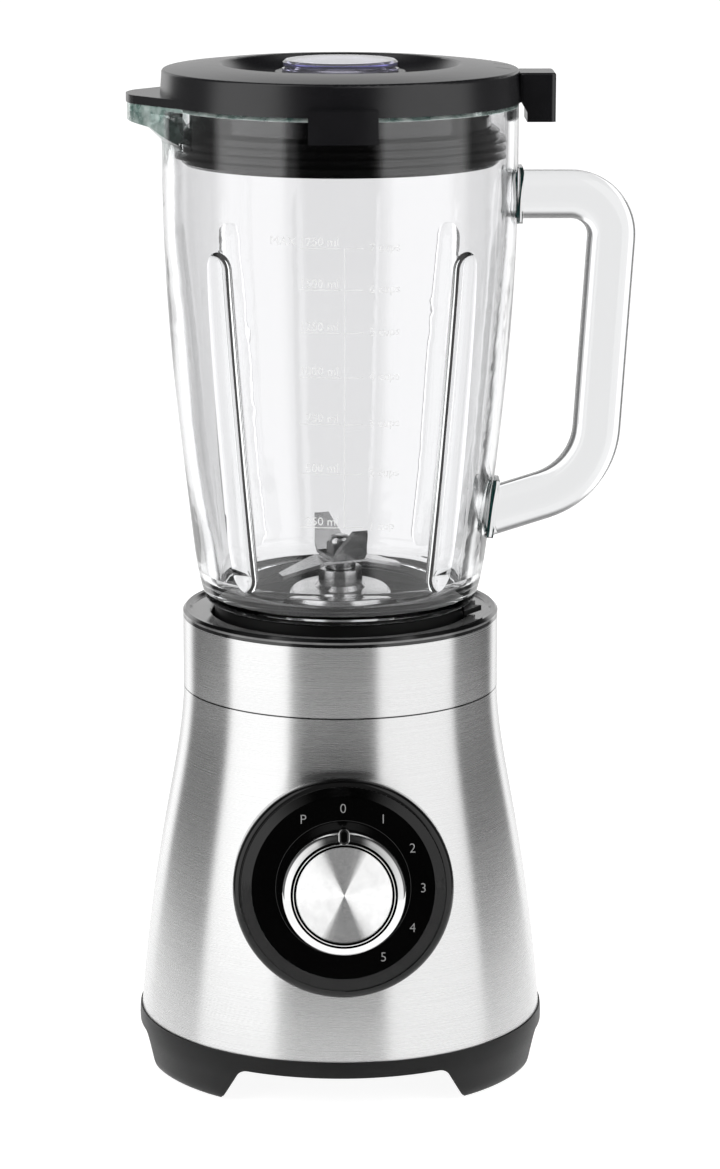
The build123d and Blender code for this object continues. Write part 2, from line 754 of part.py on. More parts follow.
def measuring_cap():
    """Clear cup that plugs the hole in the lid and doubles as a measure."""
    return turned(
        (0, CAP_TOP - 2.4),
        (0, CAP_TOP),
        (22.8, CAP_TOP),
        (23.8, CAP_TOP - 0.9),
        (23.8, CAP_TOP - 2.3),
        (22.9, CAP_TOP - 2.7),
        (22.9, CAP_TOP - 3.1),
        (24.2, CAP_TOP - 3.5),
        (24.2, CAP_SEAT + GAP),
        (CAP_HOLE - 0.4, CAP_SEAT + GAP),
        (CAP_HOLE - 1.8, 396.0),
        (CAP_HOLE - 3.6, 396.0),
        (CAP_HOLE - 2.4, CAP_TOP - 4.0),
        (CAP_HOLE - 4.0, CAP_TOP - 2.4),
    )


# ---- control panel -------------------------------------------------------------------------------
def dial_bezel():
    """Black surround that stands out of the flared housing, with the switch's backing wall."""
    rim = revolve(
        Plane.XZ
        * make_face(
            Wire(
                [
                    Line((BEZEL_R, -40), (BEZEL_R, -2.4)),
                    ThreePointArc((BEZEL_R, -2.4), (BEZEL_R - 0.9, -0.2), (BEZEL_R - 2.9, 0.9)),
                    ThreePointArc((BEZEL_R - 2.9, 0.9), (BEZEL_R - 3.2, 1.0), (BEZEL_R - 3.5, 0.9)),
                    Line((BEZEL_R - 3.5, 0.9), (DIAL_R + 0.2, -2.0)),
                    Line((DIAL_R + 0.2, -2.0), (DIAL_R + 0.2, -4.0)),
                    Line((DIAL_R + 0.2, -4.0), (6.2, -4.0)),
                    Line((6.2, -4.0), (6.2, -6.0)),
                    Line((6.2, -6.0), (BEZEL_R - 4.2, -6.0)),
                    Line((BEZEL_R - 4.2, -6.0), (BEZEL_R - 4.2, -40)),
                    Line((BEZEL_R - 4.2, -40), (BEZEL_R, -40)),
                ]
            )
        ),
        Axis.Z,
    )
    rim = front * rim
    barrel = front * Pos(0, 0, -20) * Cylinder(BEZEL_R - 1.5, 60)
    outside = rim - housing_core(-0.05)
    inside = (rim & barrel) & housing_core(-0.1)
    return outside + inside - housing_core(SKIN + 6)


def dial_plate():
    """Glossy disc under the knob, with a fine ring groove."""
    plate = Pos(0, 0, -3) * Cylinder(DIAL_R, 2.0)
    groove = Pos(0, 0, -2) * (Cylinder(28.2, 0.5) - Cylinder(27.6, 1))
    return front * (plate - Pos(0, 0, -3) * Cylinder(6.2, 4) - groove)


def nose_slot(width, low, high):
    """Upright slot shape of the knob's pointer."""
    return Pos(0, NOSE_R, low) * extrude(SlotCenterToCenter(2.2, width, 90), high - low)


def knob_ring():
    """Chromed knob body: hollow shell with a nose for the pointer and a hub for the spindle."""
    web_top = KNOB_H - 1.6
    lip_in, lip_out = CAP_DISC_R + 0.5, CAP_DISC_R + 1.3
    cone_in, cone_out = CAP_DISC_R + 1.9, KNOB_R - 1.2
    edges = [
        Polyline(
            (0, web_top),
            (0, web_top - 2),
            (19.2, web_top - 2),
            (KNOB_R - 3.6, -1.4),
            (KNOB_R - 1.2, -1.4),
            (KNOB_R, KNOB_H - 6.4),
        ),
        ThreePointArc(
            (KNOB_R, KNOB_H - 6.4),
            (KNOB_R - 0.3, KNOB_H - 4.8),
            (cone_out, KNOB_H - 3.6),
        ),
        Polyline(
            (cone_out, KNOB_H - 3.6),
            (cone_in, KNOB_H - 1.0),
            (cone_in - 0.1, web_top - 0.6),
            (lip_out, web_top - 0.6),
            (lip_out, KNOB_H - 0.4),
        ),
        ThreePointArc(
            (lip_out, KNOB_H - 0.4),
            (lip_in + 0.4, KNOB_H),
            (lip_in, KNOB_H - 0.4),
        ),
        Polyline((lip_in, KNOB_H - 0.4), (lip_in, web_top), (0, web_top)),
    ]
    shell = turned_face(Wire([e for edge in edges for e in edge.edges()]))
    nose = nose_slot(4.5, KNOB_H - 7.0, KNOB_H - 0.6)
    nose = chamfer(nose.edges().group_by(Axis.Z)[-1], 0.3)
    hub = tube(6.5, 3.0, 0, web_top - 2)
    hollow = turned((17, -2), (KNOB_R - 3.6, -2), (19.2, web_top - 2), (17, web_top - 2))
    return front * (shell + (nose - hollow) + hub - nose_slot(3.5, KNOB_H - 2.0, KNOB_H))


def knob_cap():
    """Thin spun-metal disc set into the front of the knob."""
    return front * rod(CAP_DISC_R, KNOB_H - 1.6, KNOB_H - 0.4)


def knob_pointer():
    """Black inlay in the knob's nose."""
    inlay = nose_slot(3.5, KNOB_H - 2.0, KNOB_H - 0.4)
    return front * fillet(inlay.edges().group_by(Axis.Z)[-1], 0.5)


def switch_spindle():
    """Round spindle that carries the knob."""
    return front * rod(3.0, -20.0, 18.0)


def speed_switch():
    """Rotary switch behind the panel."""
    body = Pos(0, 0, -14.2) * Box(30, 30, 16) + Pos(0, 0, -4) * Cylinder(6.0, 6)
    for x in (-9.0, -3.0, 3.0, 9.0):
        body += Pos(x, 0, -24.5) * Box(0.8, 5, 5)
    return front * (body - Pos(0, 0, -6) * Cylinder(3.0 + RUN, 32))


# ---- control board -------------------------------------------------------------------------------
def control_board():
    return slab(46.0, 1.6, 24.2, 62.0, y=52.0)


def board_parts():
    """Capacitor, choke, diodes and terminal block on the board."""
    face = 52.0 - 0.8
    parts = [
        Pos(-13, face - 4.0, 50) * Box(15, 8, 12),
        Pos(6, face - 5.5, 50) * Rot(90, 0, 0) * (Cylinder(7.5, 11) - Cylinder(3.0, 12)),
        Pos(0, face - 5.0, 34) * Box(22, 10, 9),
    ]
    parts += [Pos(17, face - 2.0, z) * Rot(0, 90, 0) * Cylinder(2.0, 8) for z in (42, 48, 54)]
    return group(parts)


# ---- all nodes -----------------------------------------------------------------------------------
NODES = {
    "base_frame": base_frame,
    "rubber_feet": rubber_feet,
    "base_screws": base_screws,
    "motor_housing": motor_housing,
    "steel_band": steel_band,
    "cord_gland": cord_gland,
    "deck": deck,
    "interlock_pin": interlock_pin,
    "interlock_spring": interlock_spring,
    "interlock_switch": interlock_switch,
    "motor_stator": motor_stator,
    "field_coils": field_coils,
    "upper_bracket": upper_bracket,
    "lower_bracket": lower_bracket,
    "upper_bearing": lambda: bearing_bush(UPPER_BEARING),
    "lower_bearing": lambda: bearing_bush(LOWER_BEARING),
    "brush_holders": brush_holders,
    "carbon_brushes": carbon_brushes,
    "brush_springs": brush_springs,
    "motor_bolts": motor_bolts,
    "motor_mounts": motor_mounts,
    "motor_shaft": motor_shaft,
    "armature_core": armature_core,
    "armature_windings": armature_windings,
    "commutator": commutator,
    "cooling_fan": cooling_fan,
    "drive_coupler": drive_coupler,
    "driven_coupler": driven_coupler,
    "jar_collar": jar_collar,
    "blade_mount": blade_mount,
    "jar_gasket": jar_gasket,
    "blade_bush": blade_bush,
    "shaft_seal": shaft_seal,
    "blade_shaft": blade_shaft,
    "lower_blade": lower_blade,
    "upper_blade": upper_blade,
    "blade_nut": blade_nut,
    "glass_jar": glass_jar,
    "lid": lid,
    "lid_gasket": lid_gasket,
    "measuring_cap": measuring_cap,
    "dial_bezel": dial_bezel,
    "dial_plate": dial_plate,
    "knob_ring": knob_ring,
    "knob_cap": knob_cap,
    "knob_pointer": knob_pointer,
    "switch_spindle": switch_spindle,
    "speed_switch": speed_switch,
    "control_board": control_board,
    "board_parts": board_parts,
}

os.makedirs("parts", exist_ok=True)
for name, make in NODES.items():
    export_step(make(), f"parts/{name}.step")
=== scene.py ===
import json
from math import cos, pi, radians, sin

import bmesh
import bpy
from mathutils import Matrix, Vector
from mathutils.bvhtree import BVHTree


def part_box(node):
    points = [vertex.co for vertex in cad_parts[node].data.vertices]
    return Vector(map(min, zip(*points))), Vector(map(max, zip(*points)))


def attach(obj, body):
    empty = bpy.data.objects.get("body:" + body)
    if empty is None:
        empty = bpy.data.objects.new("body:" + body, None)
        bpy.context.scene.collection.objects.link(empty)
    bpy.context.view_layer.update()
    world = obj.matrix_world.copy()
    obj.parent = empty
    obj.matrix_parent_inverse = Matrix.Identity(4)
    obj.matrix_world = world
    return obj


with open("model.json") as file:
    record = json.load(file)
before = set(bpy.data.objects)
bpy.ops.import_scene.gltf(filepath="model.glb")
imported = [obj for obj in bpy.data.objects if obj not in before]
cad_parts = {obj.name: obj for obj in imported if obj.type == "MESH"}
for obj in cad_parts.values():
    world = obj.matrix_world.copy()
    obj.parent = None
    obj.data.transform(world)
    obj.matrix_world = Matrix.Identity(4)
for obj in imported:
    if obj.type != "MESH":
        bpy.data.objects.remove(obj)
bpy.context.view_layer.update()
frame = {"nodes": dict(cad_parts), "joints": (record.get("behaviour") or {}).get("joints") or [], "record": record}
MM = 0.001


# ---- camera, light and floor -----------------------------------------------------------------
# Camera: metres from the drive axis and above the worktop, degrees down and towards the spout, and
# the lens in millimetres, shifted sideways by a share of the sensor.
CAMERA_DISTANCE = 1.6604
CAMERA_HEIGHT = 0.5748
CAMERA_DOWN = 12.47
CAMERA_ASIDE = 0.9
CAMERA_LENS = 123.0
CAMERA_SHIFT = 0.01685


def add_camera():
    """Long lens in front of the object, a little above it and a touch to the spout side."""
    down, aside = radians(CAMERA_DOWN), radians(CAMERA_ASIDE)
    data = bpy.data.cameras.new("camera")
    data.sensor_width = 36.0
    data.lens = CAMERA_LENS
    data.shift_x = CAMERA_SHIFT
    data.clip_end = 50.0
    camera = bpy.data.objects.new("camera", data)
    camera.location = (-CAMERA_DISTANCE * sin(aside), -CAMERA_DISTANCE * cos(aside), CAMERA_HEIGHT)
    camera.rotation_euler = (pi / 2 - down, 0, -aside)
    bpy.context.scene.collection.objects.link(camera)
    bpy.context.scene.camera = camera


# Brightness of the studio's walls: degrees from the front, growing towards +X, and level.
STUDIO_BANDS = [
    (-180, 0.52), (-160, 0.52), (-152, 0.80), (-144, 0.80), (-135, 0.10), (-92, 0.10), (-85, 0.90),
    (-41, 0.90), (-34, 0.15), (23, 0.15), (30, 0.73), (86, 0.73), (93, 0.09), (139, 0.09),
    (148, 0.75), (152, 0.75), (160, 0.52), (180, 0.52),
]
STUDIO_LEVEL = 1.7
# Darker ceiling: sine of the direction's elevation, and share of the level that is left.
CEILING = [(-1.0, 1.0), (0.84, 1.0), (0.95, 0.1), (1.0, 0.1)]
# Darker patches, round the camera and high up behind: how far each holds by side angle and by sine
# of elevation, and the share of the light that it takes away.
PATCHES = [
    (
        [(-180, 0), (-33, 0), (-26, 1), (20, 1), (26, 0), (180, 0)],
        [(-1.0, 0), (-0.3, 0), (-0.2, 1), (0.3, 1), (0.42, 0), (1.0, 0)],
        0.93,
    ),
    (
        [(-180, 1), (-120, 1), (-100, 0), (100, 0), (120, 1), (180, 1)],
        [(-1.0, 0), (0.28, 0), (0.5, 1), (1.0, 1)],
        0.8,
    ),
]

# Soft lights: name, place, size and power.
LIGHTS = [
    ("key_light", (-1.3, -1.4, 1.6), 1.2, 18),
    ("fill_light", (1.6, -1.0, 1.2), 1.2, 12),
    ("top_light", (0.0, 0.3, 2.0), 1.6, 20),
]
LIGHT_TARGET = Vector((0, 0, 0.2))

# Plates under the object: name, radius, level, whether mirrored rather than seen, colour and glow.
PLATES = [
    ("floor", 9.0, 0.0, False, 0.34, 0.92),
    ("table_top", 0.48, -0.001, True, 0.85, 0.0),
]


def add_ramp(nodes, stops, low, high):
    """Colour ramp through (place, level) points, with places from low to high."""
    ramp = nodes.new("ShaderNodeValToRGB")
    ramp.color_ramp.interpolation = "EASE"
    elements = ramp.color_ramp.elements
    while len(elements) > 1:
        elements.remove(elements[-1])
    for place, level in stops:
        share = (place - low) / (high - low)
        element = elements.new(share) if share > 0 else elements[0]
        element.color = (level, level, level, 1)
    return ramp


def multiply(nodes, links, *values):
    """Product of sockets or numbers."""
    result = values[0]
    for value in values[1:]:
        node = nodes.new("ShaderNodeMath")
        node.operation = "MULTIPLY"
        links.new(result, node.inputs[0])
        if isinstance(value, float):
            node.inputs[1].default_value = value
        else:
            links.new(value, node.inputs[1])
        result = node.outputs[0]
    return result


def add_studio():
    """Bright walls each side of the camera, dark ones further round, and a white backdrop."""
    world = bpy.data.worlds.new("studio")
    bpy.context.scene.world = world
    world.use_nodes = True
    nodes, links = world.node_tree.nodes, world.node_tree.links
    nodes.clear()
    place = nodes.new("ShaderNodeTexCoord")
    split = nodes.new("ShaderNodeSeparateXYZ")
    links.new(place.outputs["Generated"], split.inputs[0])
    turn = nodes.new("ShaderNodeMath")
    turn.operation = "ARCTAN2"
    links.new(split.outputs["X"], turn.inputs[0])
    links.new(multiply(nodes, links, split.outputs["Y"], -1.0), turn.inputs[1])
    side = nodes.new("ShaderNodeMapRange")
    side.inputs["From Min"].default_value = -pi
    side.inputs["From Max"].default_value = pi
    links.new(turn.outputs[0], side.inputs["Value"])
    height = nodes.new("ShaderNodeMapRange")
    height.inputs["From Min"].default_value = -1.0
    links.new(split.outputs["Z"], height.inputs["Value"])

    def shade(stops, span, fac):
        ramp = add_ramp(nodes, stops, -span, span)
        links.new(fac.outputs["Result"], ramp.inputs["Fac"])
        return ramp.outputs["Color"]

    level = multiply(nodes, links, shade(STUDIO_BANDS, 180, side), shade(CEILING, 1, height))
    for across, up, depth in PATCHES:
        left_over = nodes.new("ShaderNodeMath")
        left_over.operation = "SUBTRACT"
        left_over.inputs[0].default_value = 1.0
        patch = multiply(nodes, links, shade(across, 180, side), shade(up, 1, height), depth)
        links.new(patch, left_over.inputs[1])
        level = multiply(nodes, links, level, left_over.outputs[0])
    walls = nodes.new("ShaderNodeBackground")
    walls.inputs["Strength"].default_value = STUDIO_LEVEL
    links.new(level, walls.inputs["Color"])
    white = nodes.new("ShaderNodeBackground")
    white.inputs["Color"].default_value = (1, 1, 1, 1)
    seen = nodes.new("ShaderNodeLightPath")
    pick = nodes.new("ShaderNodeMixShader")
    links.new(seen.outputs["Is Camera Ray"], pick.inputs["Fac"])
    links.new(walls.outputs[0], pick.inputs[1])
    links.new(white.outputs[0], pick.inputs[2])
    out = nodes.new("ShaderNodeOutputWorld")
    links.new(pick.outputs[0], out.inputs["Surface"])


def add_light(name, place, size, power):
    """Square area light that points at the middle of the object."""
    data = bpy.data.lights.new(name, "AREA")
    data.size = size
    data.energy = power
    light = bpy.data.objects.new(name, data)
    light.location = place
    light.rotation_euler = (LIGHT_TARGET - Vector(place)).to_track_quat("-Z", "Y").to_euler()
    light.visible_glossy = False
    light.visible_transmission = False
    bpy.context.scene.collection.objects.link(light)


def add_floor():
    """White floor that is seen, and the round table top that the steel mirrors."""
    for name, radius, level, mirrored, colour, glow in PLATES:
        paint = bpy.data.materials.new(name + "_paint")
        paint.use_nodes = True
        shader = paint.node_tree.nodes["Principled BSDF"]
        shader.inputs["Base Color"].default_value = (colour, colour, colour, 1)
        shader.inputs["Roughness"].default_value = 0.9
        shader.inputs["Specular IOR Level"].default_value = 0.1
        shader.inputs["Emission Color"].default_value = (1, 1, 1, 1)
        shader.inputs["Emission Strength"].default_value = glow
        mesh = bpy.data.meshes.new(name)
        bm = bmesh.new()
        bmesh.ops.create_circle(bm, cap_ends=True, segments=96, radius=radius)
        bm.to_mesh(mesh)
        bm.free()
        plate = bpy.data.objects.new(name, mesh)
        plate.location.z = level
        plate.data.materials.append(paint)
        plate.visible_glossy = mirrored
        plate.visible_transmission = False
        plate.visible_camera = not mirrored
        plate.visible_shadow = not mirrored
        bpy.context.scene.collection.objects.link(plate)


bpy.context.scene.view_settings.view_transform = "Standard"
add_camera()
add_studio()
for light_settings in LIGHTS:
    add_light(*light_settings)
add_floor()


# ---- materials ---------------------------------------------------------------------------------
class Paint:
    """A Principled material with a few node helpers."""

    # Span that noise values mostly keep to.
    NOISE_LOW, NOISE_HIGH = 0.3, 0.7

    def __init__(self, name, **settings):
        self.material = bpy.data.materials.new(name)
        self.material.use_nodes = True
        self.nodes = self.material.node_tree.nodes
        self.links = self.material.node_tree.links
        self.shader = self.nodes["Principled BSDF"]
        for key, value in settings.items():
            self.shader.inputs[key.replace("_", " ")].default_value = value

    def noise(self, scale, detail=3.0, stretch=(1, 1, 1)):
        """Noise over the object; one lump is about a metre divided by scale and by stretch."""
        place = self.nodes.new("ShaderNodeTexCoord")
        mapping = self.nodes.new("ShaderNodeMapping")
        mapping.inputs["Scale"].default_value = stretch
        noise = self.nodes.new("ShaderNodeTexNoise")
        noise.inputs["Scale"].default_value = scale
        noise.inputs["Detail"].default_value = detail
        self.links.new(place.outputs["Object"], mapping.inputs["Vector"])
        self.links.new(mapping.outputs["Vector"], noise.inputs["Vector"])
        return noise.outputs["Fac"]

    def spread(self, fac, low, high, target):
        """Turns noise into a range of values on one input of the shader."""
        spread = self.nodes.new("ShaderNodeMapRange")
        spread.inputs["From Min"].default_value = self.NOISE_LOW
        spread.inputs["From Max"].default_value = self.NOISE_HIGH
        spread.inputs["To Min"].default_value = low
        spread.inputs["To Max"].default_value = high
        self.links.new(fac, spread.inputs["Value"])
        self.links.new(spread.outputs["Result"], self.shader.inputs[target])

    def tint(self, fac, low, high):
        """Base colour in a range of colours, by the noise."""
        self.links.new(self.colours(fac, low, high), self.shader.inputs["Base Color"])

    def colours(self, fac, low, high):
        """Turns noise into a range of colours."""
        ramp = self.nodes.new("ShaderNodeValToRGB")
        ramp.color_ramp.elements[0].position = self.NOISE_LOW
        ramp.color_ramp.elements[1].position = self.NOISE_HIGH
        ramp.color_ramp.elements[0].color = (*low, 1)
        ramp.color_ramp.elements[1].color = (*high, 1)
        self.links.new(fac, ramp.inputs["Fac"])
        return ramp.outputs["Color"]

    def bump(self, fac, height, strength=1.0):
        """Surface relief, height in metres."""
        bump = self.nodes.new("ShaderNodeBump")
        bump.inputs["Distance"].default_value = height
        bump.inputs["Strength"].default_value = strength
        self.links.new(fac, bump.inputs["Height"])
        if self.shader.inputs["Normal"].is_linked:
            self.links.new(self.shader.inputs["Normal"].links[0].from_socket, bump.inputs["Normal"])
        self.links.new(bump.outputs["Normal"], self.shader.inputs["Normal"])

    def math(self, operation, first, second):
        """Result of an operation on two values, each of them a socket or a number."""
        node = self.nodes.new("ShaderNodeMath")
        node.operation = operation
        for value, socket in ((first, node.inputs[0]), (second, node.inputs[1])):
            if isinstance(value, float):
                socket.default_value = value
            else:
                self.links.new(value, socket)
        return node.outputs[0]

    def vector(self, operation, first, second=None):
        """Result of a vector operation; the second socket is a vector, or a scale."""
        node = self.nodes.new("ShaderNodeVectorMath")
        node.operation = operation
        self.links.new(first, node.inputs[0])
        if second:
            self.links.new(second, node.inputs["Scale" if operation == "SCALE" else 1])
        return node.outputs[0]

    def ramp_from(self, value, start, end):
        """0 at the start and 1 at the end of a range, clamped."""
        ramp = self.nodes.new("ShaderNodeMapRange")
        ramp.inputs["From Min"].default_value = start
        ramp.inputs["From Max"].default_value = end
        self.links.new(value, ramp.inputs["Value"])
        return ramp.outputs["Result"]

    def along(self, axis):
        """Distance along an axis of the object, in metres."""
        place = self.nodes.new("ShaderNodeTexCoord")
        split = self.nodes.new("ShaderNodeSeparateXYZ")
        self.links.new(place.outputs["Object"], split.inputs[0])
        return split.outputs[axis]

    def from_axis(self):
        """Distance from the upright axis, in metres."""
        squares = [self.math("MULTIPLY", self.along(axis), self.along(axis)) for axis in "XY"]
        return self.math("SQRT", self.math("ADD", *squares), 0.0)

    def mix(self, fac, low, high, target):
        """One input of the shader, from one value to another as the factor goes from 0 to 1."""
        mix = self.nodes.new("ShaderNodeMapRange")
        mix.inputs["To Min"].default_value = low
        mix.inputs["To Max"].default_value = high
        self.links.new(fac, mix.inputs["Value"])
        self.links.new(mix.outputs["Result"], self.shader.inputs[target])

    def mix_colour(self, fac, low, high):
        """Base colour, from one colour socket or value to another."""
        mix = self.nodes.new("ShaderNodeMix")
        mix.data_type = "RGBA"
        self.links.new(fac, mix.inputs["Factor"])
        for value, socket in ((low, mix.inputs[6]), (high, mix.inputs[7])):
            if isinstance(value, tuple):
                socket.default_value = (*value, 1)
            else:
                self.links.new(value, socket)
        self.links.new(mix.outputs[2], self.shader.inputs["Base Color"])

    def tangent(self, axis):
        """Direction round an axis of the object."""
        tangent = self.nodes.new("ShaderNodeTangent")
        tangent.direction_type = "RADIAL"
        tangent.axis = axis
        return tangent.outputs["Tangent"]


def moulded(name, dark, light, roughness, grain, specular=0.35, relief=0.00001):
    """Moulded plastic with a fine spark-eroded grain."""
    paint = Paint(name, Roughness=roughness, Specular_IOR_Level=specular)
    fine = paint.noise(grain, 4.0)
    paint.tint(paint.noise(60, 2.0), dark, light)
    paint.spread(fine, roughness - 0.04, roughness + 0.05, "Roughness")
    paint.bump(fine, relief, 0.5)
    return paint.material


def gloss_black(name, roughness, specular=0.5, coat=0.25):
    """Polished black moulding with a faint cloudiness in its gloss."""
    paint = Paint(name, Specular_IOR_Level=specular, Coat_Weight=coat, Coat_Roughness=0.03)
    paint.tint(paint.noise(40, 2.0), *grey(0.0005, 0.0010))
    paint.spread(paint.noise(25, 3.0), roughness - 0.02, roughness + 0.03, "Roughness")
    return paint.material


def deck_gloss(name):
    """The deck's gloss black, greyed on its flat top by painted reflection; the top lies in a thin band of height.
    """
    paint = Paint(name, Specular_IOR_Level=0.6, Coat_Weight=0.25, Coat_Roughness=0.03)
    from_low = paint.ramp_from(paint.along("Z"), 0.1968, 0.1970)
    from_high = paint.ramp_from(paint.along("Z"), 0.1979, 0.1976)
    top = paint.math("MULTIPLY", from_low, from_high)
    # Painted reflection: streaky grey on the flat top stands in for light mirrored in the gloss.
    painted_top_sheen = paint.colours(paint.noise(90, 4.0, stretch=(1, 1, 0.2)), *grey(0.10, 0.17))
    paint.mix_colour(top, (0.0016, 0.0016, 0.0018), painted_top_sheen)
    paint.spread(paint.noise(25, 3.0), 0.06, 0.12, "Roughness")
    return paint.material


def brushed_steel(name, low, high, roughness):
    """Sheet brushed round the base in very fine lines, which draw highlights out across them."""
    paint = Paint(
        name, Metallic=1.0, Anisotropic=0.95, Anisotropic_Rotation=0.25, Roughness=roughness
    )
    lines = paint.noise(1.0, 1.5, stretch=(9, 9, 3400))
    paint.tint(lines, low, high)
    paint.spread(lines, roughness - 0.01, roughness + 0.015, "Roughness")
    paint.links.new(paint.tangent("Z"), paint.shader.inputs["Tangent"])
    return paint.material


# Spun disc: slope of its ridges, and how upright a radius is where its dark fans, painted reflection, begin and
# end.
RIDGE_SLOPE = 0.50
PAINTED_FAN_START = 0.86
PAINTED_FAN_FULL = 0.93


def spun_disc(name):
    """Metal turned in a lathe: fine circular ridges lean the light outwards and inwards in turn."""
    paint = Paint(name, Metallic=1.0, Roughness=0.24)
    surface = paint.nodes.new("ShaderNodeNewGeometry").outputs["Normal"]
    outwards = paint.vector("CROSS_PRODUCT", surface, paint.tangent("Y"))
    upright = paint.nodes.new("ShaderNodeSeparateXYZ")
    paint.links.new(outwards, upright.inputs[0])
    steepness = paint.math("ABSOLUTE", upright.outputs["Z"], 0.0)
    # Painted reflection: the colour darkens into fans where a radius runs near upright, standing in for dark walls
    # mirrored in the spun metal.
    painted_dark_fan = paint.ramp_from(steepness, PAINTED_FAN_START, PAINTED_FAN_FULL)
    bright = paint.colours(paint.noise(260, 3.0), *grey(0.76, 0.84))
    paint.mix_colour(painted_dark_fan, bright, (0.34, 0.34, 0.34))
    side = paint.ramp_from(paint.noise(9000, 0.0), 0.49, 0.51)
    lean = paint.math("MULTIPLY", paint.math("SUBTRACT", side, 0.5), 2 * RIDGE_SLOPE)
    leaning = paint.vector("SCALE", outwards, lean)
    normal = paint.vector("NORMALIZE", paint.vector("ADD", surface, leaning))
    paint.links.new(normal, paint.shader.inputs["Normal"])
    return paint.material


def clear(name, colour, ior, depth_colour, density, transmission=1.0):
    """Clear glass or plastic, with a tint that grows with thickness and faint surface ripple."""
    paint = Paint(
        name, Base_Color=(*colour, 1), Roughness=0.0, IOR=ior, Transmission_Weight=transmission,
        Specular_IOR_Level=1.0,
    )
    paint.bump(paint.noise(35, 1.0), 0.0002, 0.08)
    depth = paint.nodes.new("ShaderNodeVolumeAbsorption")
    depth.inputs["Color"].default_value = (*depth_colour, 1)
    depth.inputs["Density"].default_value = density
    output = paint.nodes["Material Output"]
    paint.links.new(depth.outputs["Volume"], output.inputs["Volume"])
    return paint


def jar_glass(name):
    """Clear glass with a rough green casting at the spout, and a pale green line along the rim that is a painted
    highlight.
    """
    colour = (0.992, 0.99, 0.998)
    paint = clear(name, colour, 1.5, (0.78, 0.92, 0.90), 3.0)
    past_wall = paint.ramp_from(paint.along("X"), -0.0700, -0.0730)
    up_spout = paint.ramp_from(paint.along("Z"), 0.386, 0.398)
    spout = paint.math("MULTIPLY", past_wall, up_spout)
    # Painted highlight: the top of the rim is paler and less clear, standing in for light on its rounded lip.
    rim_highlight = paint.ramp_from(paint.along("Z"), 0.4113, 0.4117)
    cast_and_rim_highlight = paint.math("MAXIMUM", spout, rim_highlight)
    lumps = paint.noise(170, 3.0)
    green = paint.colours(lumps, (0.10, 0.22, 0.19), (0.86, 0.97, 0.93))
    paint.mix_colour(cast_and_rim_highlight, colour, green)
    paint.mix(cast_and_rim_highlight, 1.0, 0.6, "Transmission Weight")
    paint.bump(paint.math("MULTIPLY", lumps, spout), 0.0006)
    return paint.material


def lid_plastic(name):
    """Satin black moulding whose plug, inside the jar, is polished."""
    paint = Paint(name, Specular_IOR_Level=0.6)
    paint.tint(paint.noise(60, 2.0), (0.0036, 0.0035, 0.0044), (0.0056, 0.0055, 0.0066))
    inside = paint.ramp_from(paint.from_axis(), 0.0732, 0.0728)
    below = paint.ramp_from(paint.along("Z"), 0.4131, 0.4130)
    plug = paint.math("MULTIPLY", inside, below)
    paint.mix(plug, 0.27, 0.05, "Roughness")
    fine = paint.noise(2000, 4.0)
    paint.bump(paint.math("MULTIPLY", fine, paint.math("SUBTRACT", 1.0, plug)), 0.00001, 0.5)
    return paint.material


def frosted(name, roughness):
    """Raised marks of the glass, a little rough."""
    paint = Paint(name, Roughness=roughness, IOR=1.2, Transmission_Weight=0.45)
    paint.tint(paint.noise(300, 2.0), *grey(0.92, 0.98))
    return paint.material


def metal(name, low, high, roughness, grain=90):
    """Plain metal with slight changes of colour and gloss."""
    paint = Paint(name, Metallic=1.0, Roughness=roughness)
    fine = paint.noise(grain, 4.0)
    paint.tint(fine, low, high)
    paint.spread(fine, roughness * 0.8, roughness * 1.25, "Roughness")
    return paint.material


def grey(dark, light):
    """A neutral range from two levels."""
    return (dark, dark, dark), (light, light, light)


MATERIALS = {
    "black_plastic": moulded("black_plastic", *grey(0.004, 0.006), 0.40, 1800, 0.22),
    "gloss_black": gloss_black("gloss_black", 0.07),
    "lid_plastic": lid_plastic("lid_plastic"),
    "deck_gloss": deck_gloss("deck_gloss"),
    "bezel_gloss": gloss_black("bezel_gloss", 0.09, 0.4, 0.0),
    "steel_skin": brushed_steel("steel_skin", *grey(0.685, 0.725), 0.27),
    "blade_steel": metal("blade_steel", *grey(0.55, 0.7), 0.2),
    "machine_steel": metal("machine_steel", *grey(0.38, 0.52), 0.35),
    "chrome": metal("chrome", *grey(0.82, 0.87), 0.05, 30),
    "spun_metal": spun_disc("spun_metal"),
    "glass": jar_glass("glass"),
    "clear_plastic": clear(
        "clear_plastic", (0.95, 0.94, 0.99), 1.46, (0.40, 0.38, 0.76), 60.0, 0.92
    ).material,
    "rubber": moulded("rubber", *grey(0.012, 0.018), 0.65, 1400),
    "seal": moulded("seal", *grey(0.0016, 0.0026), 0.16, 900, 0.4, 0.000002),
    "lamination": metal("lamination", *grey(0.2, 0.32), 0.5),
    "copper": metal("copper", (0.55, 0.24, 0.12), (0.72, 0.34, 0.18), 0.35),
    "bronze": metal("bronze", (0.45, 0.3, 0.15), (0.58, 0.4, 0.2), 0.45),
    "brass": metal("brass", (0.62, 0.47, 0.2), (0.72, 0.56, 0.27), 0.35),
    "carbon": moulded("carbon", *grey(0.02, 0.035), 0.6, 900),
    "nylon": moulded("nylon", (0.6, 0.59, 0.54), (0.68, 0.67, 0.62), 0.45, 1500),
    "board": moulded("board", (0.03, 0.16, 0.06), (0.05, 0.22, 0.1), 0.45, 1500),
    "electrical": moulded("electrical", (0.12, 0.15, 0.17), (0.2, 0.24, 0.27), 0.45, 1500),
    "spring_steel": metal("spring_steel", *grey(0.5, 0.62), 0.25),
}
PRINT_GREY = moulded("print_grey", *grey(0.26, 0.32), 0.5, 1500)
